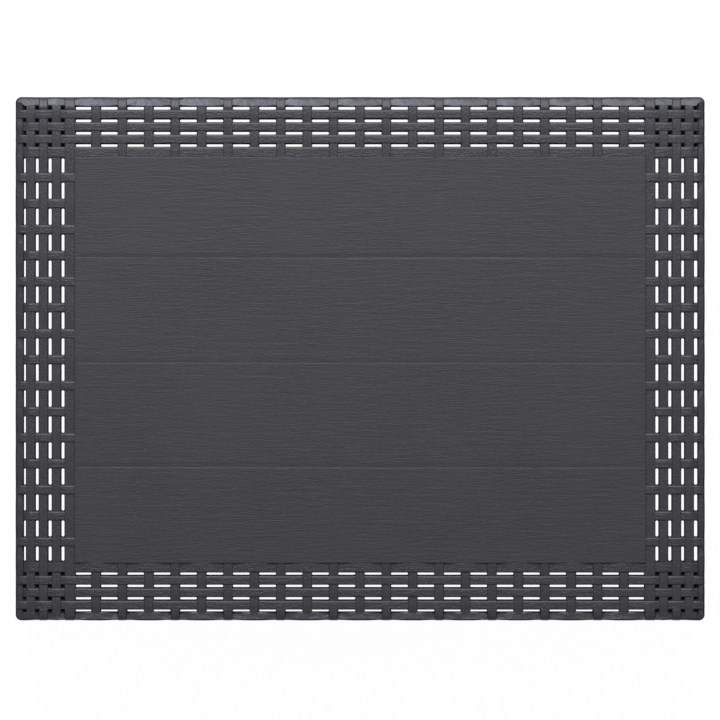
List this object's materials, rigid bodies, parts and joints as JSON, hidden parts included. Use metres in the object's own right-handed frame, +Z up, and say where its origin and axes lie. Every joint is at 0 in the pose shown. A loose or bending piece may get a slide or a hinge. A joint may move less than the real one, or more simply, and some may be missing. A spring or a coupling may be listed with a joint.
{
  "type": "deck storage box",
  "caption": "Plastic deck storage box on corner legs: plank walls set in under a hinged lid with a plank panel and an open woven border.",
  "frame": {"origin": "on the ground under the middle of the box", "axes": "+X along the long side, +Y to the hinge side at the rear, +Z up"},
  "size_m": [0.79, 0.6, 0.45],
  "materials": {
    "moulding": "matt moulded plastic with plank grain and weave",
    "glide": "matt black",
    "steel": "zinc plated"
  },
  "bodies": {
    "box": {"front_left_leg": "moulding", "front_right_leg": "moulding", "rear_left_leg": "moulding", "rear_right_leg": "moulding", "front_wall": "moulding", "rear_wall": "moulding", "left_wall": "moulding", "right_wall": "moulding", "front_sill": "moulding", "rear_sill": "moulding", "left_sill": "moulding", "right_sill": "moulding", "floor_panel": "moulding", "front_left_foot": "glide", "front_right_foot": "glide", "rear_left_foot": "glide", "rear_right_foot": "glide", "left_hinge_pin": "steel", "right_hinge_pin": "steel", "wall_lock_screws": "steel"},
    "lid": {"lid": "moulding", "left_hinge_knuckle": "moulding", "right_hinge_knuckle": "moulding", "hinge_screws": "steel"}
  },
  "joints": [
    {"name": "lid_hinge", "type": "hinge", "parent": "box", "child": "lid", "pos_m": [0, 0.286, 0.4042], "axis": [-1, 0, 0], "range_deg": [0, 100]}
  ]
}
